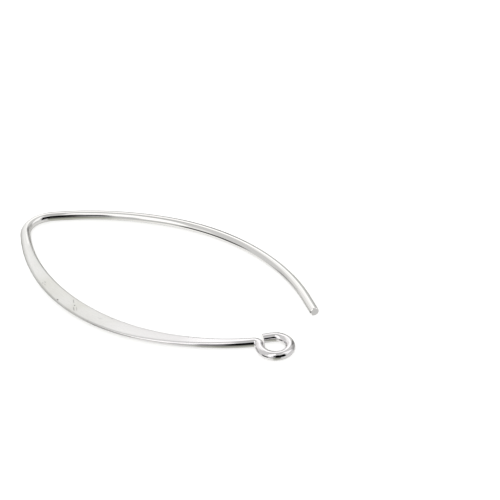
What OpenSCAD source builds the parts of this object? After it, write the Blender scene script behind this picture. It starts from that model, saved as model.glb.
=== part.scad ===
// Almond-shaped ear wire, lying flat: one length of round wire with a cut end that goes through the ear,
// a long back leg, a tight bend, a front leg pressed flat into a satin strip, and a small open ring.
// The long axis of the almond runs along X, the ring is at +X and the back leg on the +Y side.

/* [Wire] */
// Diameter of the round wire
wire_d = 0.8; // [0.6:0.05:1]
// Width of the bevel round the cut end of the back leg
tip_bevel = 0.06; // [0.02:0.01:0.1]

/* [Bend] */
// Radius of the tight bend, to the middle of the wire
bend_r = 2.6; // [1.6:0.1:3.6]

/* [Back leg] */
// Distance along the long axis from the centre of the bend to the cut end
tail_reach = 25.6; // [22:0.2:30]
// Distance of the cut end from the long axis
tail_rise = 3; // [1.5:0.1:5]
// Length of the straight stretch that ends in the cut end
post_len = 2; // [1:0.25:4]
// Radius of the bow, to the middle of the wire
back_bow_r = 18.4; // [16:0.2:24]
// Radius of the flatter stretch between the bend and the bow
back_shoulder_r = 25; // [20:0.5:34]
// Length of that flatter stretch
back_shoulder_len = 10.8; // [6:0.2:14]

/* [Front leg] */
// Distance along the long axis from the centre of the bend to the centre of the ring
ring_reach = 25.4; // [22:0.2:30]
// Distance of the centre of the ring from the long axis
ring_drop = 2.9; // [1.5:0.1:5]
// Radius of the bow, to the middle of the strip
front_bow_r = 16.2; // [15:0.2:22]
// Radius of the flatter stretch between the bend and the bow
front_shoulder_r = 18.2; // [15:0.2:26]
// Length of that flatter stretch
front_shoulder_len = 10.6; // [5:0.2:12]
// Radius of the neck, the stretch between the bow and the ring
neck_r = 20.6; // [16:0.2:30]
// Length of the neck
neck_len = 8.9; // [5:0.1:10]

/* [Pressed strip] */
// Greatest width of the pressed strip; its thickness follows, because the metal keeps its volume
strip_w = 1.68; // [1.2:0.02:2.2]

/* [Ring] */
// Inner diameter of the ring
ring_hole_d = 1.8; // [1.4:0.02:3]
// Distance of the centre of the ring from the line of the neck
ring_offset = 0.76; // [0:0.02:1]
// Radius inside the sharp crook between the neck and the ring
crook_inner_r = 0.1; // [0.05:0.01:0.3]
// Clear gap between the cut end of the ring and the crook
ring_gap = 0.15; // [0.1:0.05:0.6]
// Radius of the last stretch of the ring, which stays flatter than the rest
ring_end_r = 8; // [2:0.5:16]
// Length of that last stretch
ring_end_len = 0.85; // [0.4:0.01:1.2]

/* [Hidden] */

$fn = 96;
wire_r = wire_d / 2;
ring_r = ring_hole_d / 2 + wire_r;
crook_r = crook_inner_r + wire_r;

// Steps round each edge of the wire's outline, and the coarsest steps along it
edge_steps = 9;
longest_step = 0.9;
widest_turn = 12;

// The bent wire starts inside the straight post, this far in and this much thinner
seat_len = 0.12;
seat_scale = 0.98;

// Widening of the pressed wire. Each row holds a share of the front leg's length, counted from the end of
// the bend to the ring, and a share of the difference between strip_w and wire_d.
strip_widening = [
    [-0.05, 0.00],
    [0.00, 0.08],
    [0.06, 0.16],
    [0.13, 0.31],
    [0.21, 0.52],
    [0.29, 0.74],
    [0.37, 0.90],
    [0.44, 0.98],
    [0.48, 1.00],
    [0.53, 0.97],
    [0.60, 0.86],
    [0.67, 0.67],
    [0.74, 0.47],
    [0.82, 0.29],
    [0.90, 0.15],
    [1.00, 0.02]
];

// Arcs, triangles and directions in the plane
function arc_len(arc) = abs(arc[0]) * arc[1] * PI / 180;
function arc_angle(radius, length) = length * 180 / (radius * PI);
function angle_between(a, b, opposite) = acos((a * a + b * b - opposite * opposite) / (2 * a * b));
function toward(angle) = [cos(angle), sin(angle)];
function angle_of(v) = atan2(v.y, v.x);
function sum(list, count) = count == 0 ? 0 : list[count - 1] + sum(list, count - 1);

// A leg leaves the bend at the left end of the long axis and keeps turning towards the far end. The bend,
// a shoulder of known length and a bow follow each other, and the bow has to lead to the target. beyond
// says where the target lies from the centre of the bow, as [outward, ahead] at the end of the bow.
// The result holds the angles of the three arcs and the place of the bow's end.
function leg(target, shoulder_r, shoulder_len, bow_r, beyond) =
    let (shoulder = arc_angle(shoulder_r, shoulder_len))
    let (unbent = [shoulder_r - bend_r, 0] + (shoulder_r - bow_r) * toward(180 - shoulder))
    let (bend = angle_of(unbent) - angle_of(target) + angle_between(norm(target), norm(unbent), norm(beyond)))
    let (bow_centre = norm(unbent) * toward(angle_of(unbent) - bend))
    let (bow_end = angle_of(target - bow_centre) + angle_of(beyond))
    [bend, shoulder, 180 - bow_end - bend - shoulder, bow_centre + bow_r * toward(bow_end)];

// Back leg, above the long axis: the straight post leaves the bow at a tangent
back = leg([tail_reach, tail_rise], back_shoulder_r, back_shoulder_len, back_bow_r, [back_bow_r, post_len]);
post_root = back[3];
post_heading = 90 - back[0] - back[1] - back[2];

// The crook turns outward and touches the ring's circle. Their centres are crook_tilt off the neck's line.
crook_tilt = asin((ring_offset - crook_r) / (ring_r + crook_r));
crook_reach = (ring_r + crook_r) * cos(crook_tilt);

// Front leg, worked out above the long axis and used below it: bow, neck, and on to the centre of the ring
neck = arc_angle(neck_r, neck_len);
front = leg([ring_reach, ring_drop], front_shoulder_r, front_shoulder_len, front_bow_r, [
    front_bow_r - neck_r + (neck_r + ring_offset) * cos(neck) - crook_reach * sin(neck),
    (neck_r + ring_offset) * sin(neck) + crook_reach * cos(neck)
]);

// The ring's last stretch, and where it starts so that its inner corner keeps the gap to the crook
ring_end = arc_angle(ring_end_r, ring_end_len);
end_corner = [ring_r - ring_end_r, 0] + (ring_end_r - wire_r) * toward(-ring_end);
end_clearance = angle_between(norm(end_corner), ring_r + crook_r, crook_r + wire_r + ring_gap);
ring = 360 - end_clearance + angle_of(end_corner);

// The whole bent wire from the post to the cut end of the ring, as [radius, angle] arcs. It turns left all
// the way, except at the crook, whose radius is negative.
arcs = [
    [back_bow_r, back[2]],
    [back_shoulder_r, back[1]],
    [bend_r, back[0] + front[0]],
    [front_shoulder_r, front[1]],
    [front_bow_r, front[2]],
    [neck_r, neck],
    [-crook_r, 90 + crook_tilt],
    [ring_r, ring],
    [ring_end_r, ring_end]
];
bend_arc = 2;
neck_arc = 5;
lengths = [for (arc = arcs) arc_len(arc)];
strip_from = sum(lengths, bend_arc + 1);
strip_len = sum(lengths, neck_arc + 1) - strip_from;

// Place and heading after turning through an angle of an arc, and at the start of each arc
function moved(place, radius, angle) =
    let (heading = place[1] + sign(radius) * angle)
    [place[0] + radius * (toward(place[1] + 90) - toward(heading + 90)), heading];
function arc_start(i) = i == 0 ? [post_root, post_heading + 180]
    : moved(arc_start(i - 1), arcs[i - 1][0], arcs[i - 1][1]);

// Stations along the bent wire, as [place, heading, distance from the post]
stations = [
    for (i = [0:len(arcs) - 1])
        let (start = arc_start(i))
        let (steps = ceil(max(lengths[i] / longest_step, arcs[i][1] / widest_turn)))
        for (k = [i == 0 ? 0 : 1:steps])
            let (place = moved(start, arcs[i][0], arcs[i][1] * k / steps))
            [place[0], place[1], sum(lengths, i) + lengths[i] * k / steps]
];

// Width of the wire at a distance from the post, and the thickness that keeps the wire's section area
function width_at(distance) =
    wire_d + (strip_w - wire_d) * lookup((distance - strip_from) / strip_len, strip_widening);
square_corners = 1 - PI / 4;
function thickness_of(width) =
    (width - sqrt(width * width - square_corners * PI * wire_d * wire_d)) / (2 * square_corners);

// Outline of the wire as [sideways, up] points: two flat faces between half-round edges
function outline(width, thickness) = [
    for (side = [1, -1])
        for (i = [0:edge_steps])
            [side * (width - thickness) / 2, 0] + thickness / 2 * toward(i * 180 / edge_steps - side * 90)
];

// Extent of the hook, which puts the origin under its middle
left_edge = -bend_r - wire_r;
right_edge = max(ring_reach + ring_r, tail_reach) + wire_r;
back_edge = max([for (s = stations) s[0].y + width_at(s[2]) / 2]);
front_edge = min([for (s = stations) s[0].y - width_at(s[2]) / 2]);
middle = [(left_edge + right_edge) / 2, (front_edge + back_edge) / 2];

// Straight end of the back leg, from its root along +Z, with a bevel round its cut face
module post() {
    rotate_extrude()
        polygon([
            [0, 0],
            [wire_r, 0],
            [wire_r, post_len - tip_bevel],
            [wire_r - tip_bevel, post_len],
            [0, post_len]
        ]);
}

// Wire from the post round the bend, along the pressed strip and round the ring
module bent_wire() {
    around = 2 * (edge_steps + 1);
    last = len(stations);
    seated = [post_root + seat_len * toward(post_heading), post_heading + 180, 0];
    points = [
        for (k = [0:last])
            let (s = k == 0 ? seated : stations[k - 1])
            let (width = width_at(s[2]))
            for (p = outline(width, thickness_of(width)) * (k < 2 ? seat_scale : 1))
                concat(s[0] + p.x * toward(s[1] + 90), p.y)
    ];
    sides = [
        for (k = [0:last - 1])
            for (i = [0:around - 1])
                let (a = k * around + i)
                let (b = k * around + (i + 1) % around)
                each [[a, a + around, b + around], [a, b + around, b]]
    ];
    start_cap = [for (i = [0:around - 1]) i];
    end_cap = [for (i = [around - 1:-1:0]) last * around + i];
    polyhedron(points, concat(sides, [start_cap, end_cap]));
}

module ear_hook() {
    color("silver")
        translate([-middle.x, -middle.y, wire_r]) {
            bent_wire();
            translate(post_root)
                rotate([0, 90, post_heading])
                    post();
        }
}

ear_hook();
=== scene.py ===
import math

import bmesh
import bpy
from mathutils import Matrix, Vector


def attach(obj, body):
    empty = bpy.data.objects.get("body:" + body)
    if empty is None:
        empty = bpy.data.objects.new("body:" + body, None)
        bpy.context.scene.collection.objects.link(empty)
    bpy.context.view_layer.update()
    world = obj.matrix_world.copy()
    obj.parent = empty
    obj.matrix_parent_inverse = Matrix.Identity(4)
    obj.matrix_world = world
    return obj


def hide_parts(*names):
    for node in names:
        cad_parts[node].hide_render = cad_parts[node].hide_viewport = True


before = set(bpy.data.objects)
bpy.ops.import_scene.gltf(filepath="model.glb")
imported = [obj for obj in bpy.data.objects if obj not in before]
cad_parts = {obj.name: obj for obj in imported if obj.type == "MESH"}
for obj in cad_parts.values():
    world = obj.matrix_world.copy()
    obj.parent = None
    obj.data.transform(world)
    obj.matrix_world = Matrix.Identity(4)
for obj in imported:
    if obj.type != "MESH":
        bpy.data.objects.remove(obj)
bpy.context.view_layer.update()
mm = 0.001

# Camera: a long lens that looks down at the table from the front right
cameraSet = {
    "azimuth": 33.5,               # degrees, 0 looks along +Y
    "elevation": 36.0,             # degrees above the table
    "distance": 260.3,             # mm from the aim
    "lens": 211.8,                 # on a 36 mm sensor
    "aim": (3.906, 7.823, 0.4),    # mm, lands in the middle of the picture
    "clip": (0.01, 20),            # metres, the nearest and the furthest that it sees
}


def skyward(azimuth, elevation):    # unit vector from the table out to that side
    a, e = math.radians(azimuth), math.radians(elevation)
    return Vector((math.sin(a) * math.cos(e), -math.cos(a) * math.cos(e), math.sin(e)))


def placeCamera():
    back = skyward(cameraSet["azimuth"], cameraSet["elevation"])
    data = bpy.data.cameras.new("camera")
    data.lens = cameraSet["lens"]
    data.clip_start, data.clip_end = cameraSet["clip"]
    camera = bpy.data.objects.new("camera", data)
    camera.location = (Vector(cameraSet["aim"]) + cameraSet["distance"] * back) * mm
    camera.rotation_mode = "QUATERNION"
    camera.rotation_quaternion = (-back).to_track_quat("-Z", "Y")
    bpy.context.collection.objects.link(camera)
    bpy.context.scene.camera = camera


placeCamera()
print("camera in place")


# The bent wire, in mm, as it is built in the part's own source
wire = {
    "diameter": 0.8,
    "tipBevel": 0.06,
    "bend": 2.6,                    # radius of the tight bend
    "tail": (25.6, 3.0),            # cut end: along the long axis from the bend's centre, and off that axis
    "postLength": 2.0,
    "backBow": 18.4,
    "backShoulder": (25.0, 10.8),   # radius and length, as for the front shoulder, neck and ring's end
    "ring": (25.4, 2.9),            # its centre: along the long axis, and off it
    "frontBow": 16.2,
    "frontShoulder": (18.2, 10.6),
    "neck": (20.6, 8.9),
    "ringHole": 1.8,
    "ringOffset": 0.76,
    "crookInside": 0.1,
    "ringGap": 0.15,
    "ringEnd": (8.0, 0.85),
    "endBevel": 0.04,               # at the ring's own cut end
    "middleAcross": -0.333475,      # off the long axis, halfway between the front edge and the back edge
    "slack": 0.0135,                # keeps the round outline inside the part's own flat facets
    "around": 72,                   # corners of the outline
    "longestStep": 0.22,
    "widestTurn": 5.0,              # degrees
    "smoothAngle": 32,              # degrees, sharper edges stay sharp
    "capsAlong": -3,                # where the cut ends lie in the UV map, clear of the wire
    "seamJump": 1,                  # a face that spans more than this closes the way round the wire
}
strip = {
    "width": 1.68,
    # share of the front leg from the bend to the ring, and share of the extra width there
    "widening": [
        (-0.05, 0.00), (0.00, 0.08), (0.06, 0.16), (0.13, 0.31), (0.21, 0.52), (0.29, 0.74), (0.37, 0.90),
        (0.44, 0.98), (0.48, 1.00), (0.53, 0.97), (0.60, 0.86), (0.67, 0.67), (0.74, 0.47), (0.82, 0.29),
        (0.90, 0.15), (1.00, 0.02)],
    "leastPressed": 0.0005,         # mm between width and thickness, less than that stays round
    "heldMiddle": 0.001,            # share of the radius, corners nearer to the middle line aren't moved apart
    # satin surface: shares of the front leg where it starts, is full, starts to fade and is gone
    "satinAlong": (-0.10, -0.02, 0.78, 0.92),
    # how far it reaches down the round edges, from 0 beside the flat face to 1 at the outermost point, at two
    # shares of the leg
    "satinInside": ((0.05, 0.1), (0.26, 0.9)),
    "satinOutside": ((0.50, 0.97), (0.88, 0.62)),
    "satinFade": 0.12,              # the last part of that reach, where it fades
}
wireRadius = wire["diameter"] / 2
drawnRadius = wireRadius - wire["slack"]


def pointing(angle):
    return Vector((math.cos(angle), math.sin(angle)))


def angleOf(v):
    return math.atan2(v.y, v.x)


def cornerAngle(a, b, opposite):
    return math.acos((a * a + b * b - opposite * opposite) / (2 * a * b))


def legAngles(target, shoulder, bow, beyond):
    # angles of bend, shoulder and bow that lead to the target, and where the bow ends; beyond is the way from
    # the bow's centre to the target, as outward and ahead at the bow's end
    radius, length = shoulder
    shoulderAngle = length / radius
    unbent = Vector((radius - wire["bend"], 0)) + (radius - bow) * pointing(math.pi - shoulderAngle)
    bend = angleOf(unbent) - angleOf(target) + cornerAngle(target.length, unbent.length, beyond.length)
    bowCentre = unbent.length * pointing(angleOf(unbent) - bend)
    bowEnd = angleOf(target - bowCentre) + angleOf(beyond)
    return bend, shoulderAngle, math.pi - bowEnd - bend - shoulderAngle, bowCentre + bow * pointing(bowEnd)


def planWire():
    # place of the cut end, the post's heading, and the arcs after the post as (radius, angle), with a negative
    # radius where the wire turns right
    ring = wire["ringHole"] / 2 + wireRadius
    crook = wire["crookInside"] + wireRadius
    back = legAngles(Vector(wire["tail"]), wire["backShoulder"], wire["backBow"],
                     Vector((wire["backBow"], wire["postLength"])))
    tilt = math.asin((wire["ringOffset"] - crook) / (ring + crook))
    reach = (ring + crook) * math.cos(tilt)
    neckRadius, neckLength = wire["neck"]
    neck = neckLength / neckRadius
    lever = neckRadius + wire["ringOffset"]
    beyond = Vector((wire["frontBow"] - neckRadius + lever * math.cos(neck) - reach * math.sin(neck),
                     lever * math.sin(neck) + reach * math.cos(neck)))
    front = legAngles(Vector(wire["ring"]), wire["frontShoulder"], wire["frontBow"], beyond)
    endRadius, endLength = wire["ringEnd"]
    ringEnd = endLength / endRadius
    corner = Vector((ring - endRadius, 0)) + (endRadius - wireRadius) * pointing(-ringEnd)
    clear = cornerAngle(corner.length, ring + crook, crook + wireRadius + wire["ringGap"])
    heading = math.pi / 2 - back[0] - back[1] - back[2]
    arcs = [
        (wire["backBow"], back[2]),
        (wire["backShoulder"][0], back[1]),
        (wire["bend"], back[0] + front[0]),
        (wire["frontShoulder"][0], front[1]),
        (wire["frontBow"], front[2]),
        (neckRadius, neck),
        (-crook, math.pi / 2 + tilt),
        (ring, 2 * math.pi - clear + angleOf(corner)),
        (endRadius, ringEnd - wire["endBevel"] / endRadius),
    ]
    return back[3] + wire["postLength"] * pointing(heading), heading + math.pi, arcs


def widthAt(share):
    table = strip["widening"]
    extra = (table[0] if share < 0 else table[-1])[1]
    if table[0][0] < share < table[-1][0]:
        (a, low), (b, high) = next(pair for pair in zip(table, table[1:]) if share <= pair[1][0])
        extra = low + (high - low) * (share - a) / (b - a)
    return wire["diameter"] + (strip["width"] - wire["diameter"]) * extra


def thicknessOf(width):    # the metal keeps its volume
    square = 1 - math.pi / 4
    return (width - math.sqrt(width * width - square * math.pi * wire["diameter"] ** 2)) / (2 * square)


tip, tipHeading, arcs = planWire()
arcLengths = [abs(radius) * angle for radius, angle in arcs]
bendArc, neckArc = 2, 5    # their places among the arcs
stripStart = wire["postLength"] + sum(arcLengths[:bendArc + 1])
stripLength = sum(arcLengths[bendArc + 1:neckArc + 1])
# the frame's origin lies under the middle of the part, between the bend and the far edge of ring or post
farthest = max(wire["ring"][0] + wire["ringHole"] / 2 + wireRadius, wire["tail"][0])
middle = Vector(((farthest - wire["bend"]) / 2, wire["middleAcross"]))
print("wire planned", round(sum(arcLengths) + wire["postLength"], 2), "mm long")


def inFrame(point):    # from mm on the wire's middle plane to metres in the frame
    return Vector((point.x - middle.x, point.y - middle.y, wireRadius)) * mm


def nothingSelected():
    if bpy.context.mode != "OBJECT":
        bpy.ops.object.mode_set(mode="OBJECT")
    bpy.ops.object.select_all(action="DESELECT")


def pickCorners(mesh, indices):
    bm = bmesh.from_edit_mesh(mesh)
    bm.verts.ensure_lookup_table()
    for v in bm.verts:
        v.select = False
    for i in indices:
        bm.verts[i].select = True
    bm.select_flush_mode()
    bmesh.update_edit_mesh(mesh)


def drawWire():
    # a filled circle at the cut end is extruded along the post and spun round every bend
    nothingSelected()
    bpy.ops.mesh.primitive_circle_add(vertices=wire["around"], radius=(drawnRadius - wire["tipBevel"]) * mm,
                                      fill_type="NGON", location=inFrame(tip),
                                      rotation=(0, math.pi / 2, tipHeading))
    piece = bpy.context.object
    piece.name = "ear_wire"
    bpy.ops.object.transform_apply(location=True, rotation=True, scale=True)
    bpy.ops.object.mode_set(mode="EDIT")
    bpy.ops.mesh.select_all(action="SELECT")
    stations = [(tip, tipHeading, 0.0)]    # place, heading and distance from the cut end of every outline

    def push(length, scale):
        start, heading, distance = stations[-1]
        step = length * pointing(heading)
        bpy.ops.mesh.extrude_region_move(TRANSFORM_OT_translate={"value": step.to_3d() * mm})
        if scale != 1:
            bpy.ops.transform.resize(value=(scale, scale, scale), center_override=inFrame(start + step))
        stations.append((start + step, heading, distance + length))

    push(wire["tipBevel"], drawnRadius / (drawnRadius - wire["tipBevel"]))
    straight = wire["postLength"] - wire["tipBevel"]
    steps = math.ceil(straight / wire["longestStep"])
    for k in range(steps):
        push(straight / steps, 1)

    for radius, angle in arcs:
        place, heading, distance = stations[-1]
        length = abs(radius) * angle
        steps = math.ceil(max(length / wire["longestStep"], math.degrees(angle) / wire["widestTurn"]))
        centre = place + radius * pointing(heading + math.pi / 2)
        turn = math.copysign(angle, radius)
        bpy.ops.mesh.spin(steps=steps, angle=-turn, center=inFrame(centre), axis=(0, 0, 1))
        for k in range(1, steps + 1):
            now = heading + turn * k / steps
            stations.append((centre - radius * pointing(now + math.pi / 2), now, distance + length * k / steps))
    push(wire["endBevel"], (drawnRadius - wire["endBevel"]) / drawnRadius)
    return piece, stations


def pressStrip(piece, stations):
    # outline by outline: it is thinned, then its two halves are moved apart to leave flat faces between
    # round edges
    around = wire["around"]
    mesh = piece.data
    low = stripStart + strip["widening"][0][0] * stripLength
    high = stripStart + stripLength + wire["diameter"]
    for k, (place, heading, distance) in enumerate(stations):
        if not low < distance < high:
            continue
        width = widthAt((distance - stripStart) / stripLength)
        thickness = thicknessOf(width)
        if width - thickness < strip["leastPressed"]:
            continue
        outline = range(k * around, (k + 1) * around)
        centre = inFrame(place)
        side = pointing(heading + math.pi / 2).to_3d()
        pickCorners(mesh, outline)
        scale = thickness / wire["diameter"]
        apart = (width - thickness) / 2 - wire["slack"] * (1 - scale)
        bpy.ops.transform.resize(value=(scale, scale, scale), center_override=centre)
        bm = bmesh.from_edit_mesh(mesh)
        bm.verts.ensure_lookup_table()
        out = {i: (bm.verts[i].co - centre).dot(side) / (wireRadius * mm) for i in outline}
        for sign in (1, -1):
            pickCorners(mesh, [i for i in outline if out[i] * sign > strip["heldMiddle"]])
            bpy.ops.transform.translate(value=side * sign * apart * mm)


def ramp(start, end, value):
    return min(1, max(0, (value - start) / (end - start)))


def reachAt(name, share):
    (a, low), (b, high) = strip[name]
    return low + (high - low) * ramp(a, b, share)


def wayRound(outline):    # from the lowest corner to each corner, and all the way round
    lowest = min(range(len(outline)), key=lambda i: outline[i].z)
    walked, way = 0.0, [0.0] * len(outline)
    for step in range(len(outline)):
        i = (lowest + step) % len(outline)
        way[i] = walked
        walked += (outline[(i + 1) % len(outline)] - outline[i]).length
    return way, walked


def markSurface(piece, stations):
    # UVs follow the wire in mm, and attributes hold how satin the surface is and how far inward it lies
    around = wire["around"]
    mesh = piece.data
    uv = mesh.uv_layers.new(name="alongWire")
    satin = mesh.attributes.new("satin", "FLOAT", "POINT")
    inward = mesh.attributes.new("inward", "FLOAT", "POINT")    # -1 at the almond's outer edge, 1 at its inner
    ways, satinAt, inwardAt = [], [], []
    starts, full, fades, gone = strip["satinAlong"]
    for k, (place, heading, distance) in enumerate(stations):
        side = pointing(heading + math.pi / 2).to_3d()
        centre = inFrame(place)
        outline = [(mesh.vertices[k * around + i].co - centre) / mm for i in range(around)]
        ways.append(wayRound(outline))
        share = (distance - stripStart) / stripLength
        along = min(ramp(starts, full, share), ramp(gone, fades, share))
        outside, inside = reachAt("satinOutside", share), reachAt("satinInside", share)
        width = widthAt(share)
        thickness = thicknessOf(width)
        for p in outline:
            across = p.dot(side)
            limit = outside if across < 0 < p.z else inside
            over = (abs(across) - (width - thickness) / 2) / (thickness / 2)
            satinAt.append(along * ramp(limit, limit - strip["satinFade"], over))
            inwardAt.append(2 * across / width)
    satin.data.foreach_set("value", satinAt)
    inward.data.foreach_set("value", inwardAt)
    for face in mesh.polygons:
        if len(face.vertices) > 4:    # cut ends
            for loop, v in zip(face.loop_indices, face.vertices):
                place, heading, distance = stations[v // around]
                p = (mesh.vertices[v].co - inFrame(place)) / mm
                uv.data[loop].uv = (p.dot(pointing(heading + math.pi / 2).to_3d()) + wire["capsAlong"], p.z)
            continue
        across = [ways[v // around][0][v % around] for v in face.vertices]
        seam = max(across) - min(across) > wire["seamJump"]
        for loop, v, c in zip(face.loop_indices, face.vertices, across):
            uv.data[loop].uv = (stations[v // around][2], ways[v // around][1] if seam and c == 0 else c)


def newMaterial(name):
    material = bpy.data.materials.new(name)
    material.use_nodes = True
    return material, material.node_tree, material.node_tree.nodes["Principled BSDF"]


mixSockets = {"FLOAT": (2, 3, 0), "RGBA": (6, 7, 2)}    # inputs A and B and the output of a Mix node


def nodeTools(tree):
    # short ways to add the nodes that the silver and the studio share; a value is a socket or a constant
    nodes, links = tree.nodes, tree.links

    def feed(value, socket):
        if isinstance(value, bpy.types.NodeSocket):
            links.new(value, socket)
        else:
            socket.default_value = value

    def calc(operation, *values):
        node = nodes.new("ShaderNodeMath")
        node.operation = operation
        for value, socket in zip(values, node.inputs):
            feed(value, socket)
        return node.outputs[0]

    def remap(source, low, high, toLow=0, toHigh=1):
        node = nodes.new("ShaderNodeMapRange")
        node.interpolation_type = "SMOOTHSTEP"
        for name, value in zip(("From Min", "From Max", "To Min", "To Max"), (low, high, toLow, toHigh)):
            node.inputs[name].default_value = value
        links.new(source, node.inputs["Value"])
        return node.outputs["Result"]

    def blend(factor, a, b, kind="FLOAT"):
        node = nodes.new("ShaderNodeMix")
        node.data_type = kind
        socketA, socketB, result = mixSockets[kind]
        links.new(factor, node.inputs[0])
        feed(a, node.inputs[socketA])
        feed(b, node.inputs[socketB])
        return node.outputs[result]

    return calc, remap, blend


# Silver: polished on the round wire, satin on the pressed faces
silver = {
    "polished": (0.95, 0.938, 0.924, 1),
    "polishedRing": (0.945, 0.925, 0.935, 1),    # a cooler tone towards the ring
    "coolerFrom": (46, 58),                      # mm along the wire
    "polishedRoughness": (0.03, 0.08),
    "satin": (0.93, 0.925, 0.915, 1),
    "satinRoughness": (0.3, 0.42),
    "satinStreak": 0.92,                         # shade of the brushed streaks
    "satinWarmShade": (0.835, 0.828, 0.78, 1),        # broad warm patches of a darker tone, more of them on the widest stretch, where they are painted shade
    "warmLeast": 0.3,                            # of that tone between the patches
    "warmShadeStretch": (37, 43, 48, 51.5),           # mm along the wire where that painted shade lies: starts, is full, starts to fade, is gone
    "warmShadeElsewhere": (0.25, 0.1),                # how warm and shaded it is before that stretch and after it
    "outwardPaintedShade": 0.92,                        # painted shade on that stretch, darker towards the almond's outer edge
    "outwardSpan": 0.8,                          # share of the width across which that shade fades
    # noise: stretch along and across the wire (None lies in the frame instead), scale, detail, roughness
    "noise": {
        "drawLines": ((0.25, 26, 1), 1, 4, 0.5),
        "brushed": ((1.6, 11, 1), 1, 5, 0.65),
        "mottling": (None, 900, 4, 0.6),
        "grain": (None, 9000, 2, 0.5),
        "patches": (None, 300, 2, 0.5),
    },
    # the values of a noise between which it takes effect
    "mottlingSpan": (0.35, 0.7),
    "brushedSpan": (0.3, 0.7),
    "patchesSpan": (0.35, 0.6),
    # bumps: strength, and height in metres
    "drawBump": (0.6, 0.0000012),
    "satinBump": (0.6, 0.000006),
    "markBump": (1.0, 0.00002),
    # small marks on the strip's upper face: place in mm, angle in degrees, half length and half width in mm,
    # shade
    "marks": [
        ((-4.5, -7.05), -50, 0.36, 0.045, 0.4),
        ((-4.1, -7.46), 20, 0.08, 0.06, 0.85),
        ((-3.86, -7.9), -50, 0.38, 0.04, 0.5),
        ((-3.66, -7.76), -50, 0.38, 0.03, 0.35),
        ((-5.8, -7.62), -25, 0.12, 0.08, 0.75),
        ((-8.2, -6.2), -20, 0.14, 0.04, 0.35),
        ((-8.3, -6.42), -40, 0.12, 0.04, 0.4),
        ((-8.0, -6.5), -30, 0.12, 0.035, 0.35),
        ((-5.25, -8.02), -15, 0.22, 0.04, 0.4),
        ((-0.3, -7.2), 10, 0.14, 0.035, 0.25),
        ((-1.2, -7.75), 5, 0.3, 0.03, 0.2),
    ],
    "markHeight": 1.5,                           # of their centres, in wire radii above the table
    "markCore": 0.5,                             # share of a mark's size that has its full shade
}


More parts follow.
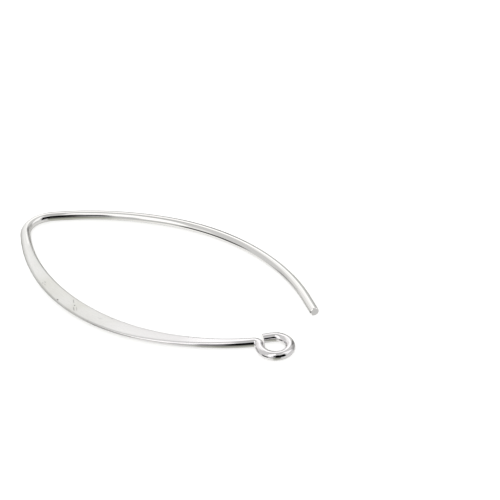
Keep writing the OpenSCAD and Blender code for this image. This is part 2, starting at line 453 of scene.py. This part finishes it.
def silverFinish():
    material, tree, bsdf = newMaterial("silver")
    nodes, links = tree.nodes, tree.links
    calc, remap, blend = nodeTools(tree)
    bsdf.inputs["Metallic"].default_value = 1.0

    coordinates = nodes.new("ShaderNodeTexCoord").outputs["Object"]
    uvMap = nodes.new("ShaderNodeUVMap")
    uvMap.uv_map = "alongWire"
    onWire = uvMap.outputs["UV"]

    def mapped(source, **settings):
        node = nodes.new("ShaderNodeMapping")
        for name, value in settings.items():
            node.inputs[name].default_value = value
        links.new(source, node.inputs["Vector"])
        return node

    def noise(name):
        stretch, scale, detail, roughness = silver["noise"][name]
        node = nodes.new("ShaderNodeTexNoise")
        node.inputs["Scale"].default_value = scale
        node.inputs["Detail"].default_value = detail
        node.inputs["Roughness"].default_value = roughness
        source = mapped(onWire, Scale=stretch).outputs["Vector"] if stretch else coordinates
        links.new(source, node.inputs["Vector"])
        return node.outputs["Fac"]

    def attribute(name):
        node = nodes.new("ShaderNodeAttribute")
        node.attribute_name = name
        return node.outputs["Fac"]

    def bump(height, look, normal=None, dents=False):
        node = nodes.new("ShaderNodeBump")
        node.invert = dents
        node.inputs["Strength"].default_value, node.inputs["Distance"].default_value = silver[look]
        links.new(height, node.inputs["Height"])
        if normal:
            links.new(normal, node.inputs["Normal"])
        return node.outputs["Normal"]

    satin = attribute("satin")
    brushed = noise("brushed")
    roughPolished = remap(noise("mottling"), *silver["mottlingSpan"], *silver["polishedRoughness"])
    roughSatin = remap(brushed, *silver["brushedSpan"], *silver["satinRoughness"])
    links.new(blend(satin, roughPolished, roughSatin), bsdf.inputs["Roughness"])

    split = nodes.new("ShaderNodeSeparateXYZ")
    links.new(onWire, split.inputs["Vector"])
    along = split.outputs["X"]
    cooler = remap(along, *silver["coolerFrom"])
    polishedColour = blend(cooler, silver["polished"], silver["polishedRing"], "RGBA")
    # painted shade on the widest stretch: the warm patches gather there and darken the satin
    warmStarts, warmFull, warmFades, warmGone = silver["warmShadeStretch"]
    warmBefore, warmAfter = silver["warmShadeElsewhere"]
    widest = calc("MINIMUM", remap(along, warmStarts, warmFull, warmBefore, 1),
                  remap(along, warmGone, warmFades, warmAfter, 1))
    warm = calc("MULTIPLY", remap(noise("patches"), *silver["patchesSpan"], silver["warmLeast"], 1), widest)
    satinColour = blend(warm, silver["satin"], silver["satinWarmShade"], "RGBA")
    satinColour = blend(cooler, satinColour, silver["polishedRing"], "RGBA")
    colour = blend(satin, polishedColour, satinColour, "RGBA")

    faint, strong = silver["brushedSpan"]
    streak = remap(calc("MULTIPLY", remap(brushed, strong, faint), satin), 0, 1, 1, silver["satinStreak"])
    # painted shade: on the widest stretch the satin face is darker towards the almond's outer edge
    span = silver["outwardSpan"]
    outward = remap(attribute("inward"), -span, span, silver["outwardPaintedShade"], 1)
    shade = calc("MULTIPLY", streak, blend(calc("MULTIPLY", satin, widest), 1.0, outward))

    marked = None
    for (x, y), angle, length, width, darkness in silver["marks"]:
        node = mapped(coordinates, Location=(x * mm, y * mm, silver["markHeight"] * wireRadius * mm),
                      Rotation=(0, 0, math.radians(angle)), Scale=(length * mm, width * mm, wireRadius * mm))
        node.vector_type = "TEXTURE"
        away = nodes.new("ShaderNodeVectorMath")
        away.operation = "LENGTH"
        links.new(node.outputs["Vector"], away.inputs[0])
        mark = remap(away.outputs["Value"], 1, silver["markCore"], 0, darkness)
        marked = mark if marked is None else calc("MAXIMUM", marked, mark)
    tinted = nodes.new("ShaderNodeVectorMath")
    tinted.operation = "SCALE"
    links.new(colour, tinted.inputs[0])
    links.new(calc("MULTIPLY", shade, calc("SUBTRACT", 1.0, marked)), tinted.inputs["Scale"])
    links.new(tinted.outputs["Vector"], bsdf.inputs["Base Color"])

    lines = bump(noise("drawLines"), "drawBump")
    rough = bump(blend(satin, 0.0, blend(noise("grain"), 0.0, brushed)), "satinBump", lines)
    links.new(bump(marked, "markBump", rough, dents=True), bsdf.inputs["Normal"])
    return material


piece, stations = drawWire()
pressStrip(piece, stations)
nothingSelected()
markSurface(piece, stations)
piece.select_set(True)
bpy.context.view_layer.objects.active = piece
bpy.ops.object.mode_set(mode="EDIT")
bpy.ops.mesh.select_all(action="SELECT")
bpy.ops.mesh.normals_make_consistent(inside=False)
bpy.ops.object.mode_set(mode="OBJECT")
bpy.ops.object.shade_smooth_by_angle(angle=math.radians(wire["smoothAngle"]))
piece.data.materials.append(silverFinish())
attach(piece, "root")
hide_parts("ear_hook")
print("wire finished:", len(piece.data.polygons), "faces")


# Table and studio: a white table in a tent of soft panels, with one dark opening towards the camera. The
# panels below the horizon are what the polished wire mirrors of the table.
studio = {
    "tableSize": 3.0,                   # metres
    "tableColour": (0.95, 0.95, 0.945, 1),
    "tableRoughness": 0.35,
    "tent": (0.62, 0.62, 0.615),
    # azimuth from the camera's side (positive to its right) and elevation, half width and half height, all in
    # degrees, and the light; a later panel hangs in front of an earlier one
    "panels": [
        ("ceiling", (0, 90), (200, 22), (0.47, 0.47, 0.465)),
        ("table, right", (106, -55), (54, 40), (0.68, 0.68, 0.67)),
        ("table, near right", (43, -46), (10, 22), (0.57, 0.57, 0.565)),
        ("table, left", (-90, -72), (75, 28), (0.95, 0.95, 0.93)),
        ("table, near left", (-25, -45), (15, 30), (0.72, 0.72, 0.7)),
        ("table, near left, upper", (-22, -27), (10, 12), (0.48, 0.48, 0.47)),
        ("table, near", (10, -45), (24, 18), (0.3, 0.31, 0.26)),
        ("table, underneath", (10, -74), (40, 12), (0.5, 0.51, 0.46)),
        ("table, far", (176, -48), (18, 45), (0.24, 0.24, 0.19)),
        ("right back", (137, 8), (24, 26), (0.45, 0.45, 0.445)),
        ("right back, low", (127, -3), (16, 18), (0.33, 0.33, 0.325)),
        ("right back gap", (149, 12), (8, 24), (0.18, 0.18, 0.175)),
        ("right back gap, top", (165, 27), (7, 8), (0.64, 0.64, 0.63)),
        ("left back glow", (-144, 22), (38, 34), (0.72, 0.72, 0.71)),
        ("left back glow, inner", (-149, 28), (33, 28), (0.83, 0.83, 0.82)),
        ("left back softbox", (-154, 22), (28, 30), (1.0, 1.0, 0.99)),
        ("left back softbox, top", (-152, 58), (12, 14), (0.93, 0.93, 0.92)),
        ("left back softbox, side", (-140, 14), (15, 18), (0.82, 0.82, 0.81)),
        ("table, far left", (-156, -23), (28, 16), (0.3, 0.3, 0.28)),
        ("table, far left corner", (-145, -40), (5, 6), (1.0, 1.0, 0.99)),
        ("far edge", (-177, -2), (5, 24), (0.32, 0.32, 0.315)),
        ("far softbox", (186, 40), (14, 20), (1.12, 1.12, 1.11)),
        ("far gap", (175, -4), (4, 26), (0.02, 0.02, 0.02)),
        ("far gap, right", (164.5, 3), (7.5, 13), (0.5, 0.5, 0.49)),
        ("right softbox", (88, 42), (19, 26), (1.0, 1.0, 1.0)),
        ("left front softbox", (-27, 45), (17, 46), (1.12, 1.12, 1.11)),
        ("left front softbox, top", (-14, 64), (21, 26), (1.08, 1.08, 1.07)),
        ("left front softbox, side", (-49, 10), (7, 16), (0.85, 0.85, 0.84)),
        ("left front softbox, foot", (-14, 3), (7, 15), (0.5, 0.5, 0.5)),
        ("left front gap", (-59, -27), (19, 15), (0.02, 0.02, 0.02)),
        ("left front gap, side", (-35, -24), (5, 12), (0.45, 0.45, 0.44)),
        ("left gap", (-108, -25), (8, 13), (0.3, 0.3, 0.3)),
        ("opening", (29, 15), (29, 28), (0.0, 0.0, 0.0)),
        ("opening, left", (-4, 19), (7, 10), (0.02, 0.02, 0.02)),
        ("opening, left top", (-4, 34), (6, 7), (0.2, 0.2, 0.2)),
        ("opening, left low", (-4, -4), (7, 13), (0.25, 0.25, 0.25)),
        ("opening, top", (12, 44), (12, 5), (0.08, 0.08, 0.08)),
        ("opening, low", (16, -8), (15, 10), (0.02, 0.02, 0.02)),
        ("opening, lowest", (14, -21), (17, 6), (0.13, 0.13, 0.12)),
    ],
    "fade": 5,                          # degrees over which a panel's edge fades
    "lampPower": 10.3,                  # watts
    "lampSize": 0.25,                   # metres, as the distance
    "lampDistance": 1.0,
    "lampElevation": 38,                # degrees
}


def lightRound():
    world = bpy.data.worlds.new("studio")
    bpy.context.scene.world = world
    world.use_nodes = True
    nodes, links = world.node_tree.nodes, world.node_tree.links
    calc, remap, blend = nodeTools(world.node_tree)
    turned = nodes.new("ShaderNodeMapping")
    turned.inputs["Rotation"].default_value = (0, 0, -math.radians(cameraSet["azimuth"]))
    links.new(nodes.new("ShaderNodeTexCoord").outputs["Generated"], turned.inputs["Vector"])
    split = nodes.new("ShaderNodeSeparateXYZ")
    links.new(turned.outputs["Vector"], split.inputs["Vector"])
    azimuth = calc("ARCTAN2", split.outputs["X"], calc("MULTIPLY", split.outputs["Y"], -1))
    elevation = calc("ARCSINE", split.outputs["Z"])
    halfFade = math.radians(studio["fade"]) / 2
    colour = (*studio["tent"], 1)
    for name, (aside, up), (halfWidth, halfHeight), light in studio["panels"]:
        sideways = calc("WRAP", calc("SUBTRACT", azimuth, math.radians(aside)), math.pi, -math.pi)
        across = calc("SUBTRACT", calc("ABSOLUTE", sideways), math.radians(halfWidth))
        upright = calc("ABSOLUTE", calc("SUBTRACT", elevation, math.radians(up)))
        edge = calc("MAXIMUM", across, calc("SUBTRACT", upright, math.radians(halfHeight)))
        colour = blend(remap(edge, halfFade, -halfFade), colour, (*light, 1), "RGBA")
        colour.node.label = name
    links.new(colour, nodes["Background"].inputs["Color"])


def layTable():
    nothingSelected()
    bpy.ops.mesh.primitive_plane_add(size=studio["tableSize"])
    table = bpy.context.object
    table.name = "table"
    material, tree, bsdf = newMaterial("table_white")
    bsdf.inputs["Base Color"].default_value = studio["tableColour"]
    bsdf.inputs["Roughness"].default_value = studio["tableRoughness"]
    table.data.materials.append(material)
    table.visible_glossy = False


def hangLamp():
    # soft lamp above the camera, so that shadows fall behind the wire; the wire itself mirrors only the tent
    light = bpy.data.lights.new("lamp", "AREA")
    light.energy = studio["lampPower"]
    light.size = studio["lampSize"]
    lamp = bpy.data.objects.new("lamp", light)
    lamp.location = studio["lampDistance"] * skyward(cameraSet["azimuth"], studio["lampElevation"])
    lamp.rotation_euler = (-lamp.location).to_track_quat("-Z", "Y").to_euler()
    lamp.visible_glossy = False
    bpy.context.collection.objects.link(lamp)


lightRound()
layTable()
hangLamp()
bpy.context.scene.view_settings.view_transform = "Standard"
print("table and light set")
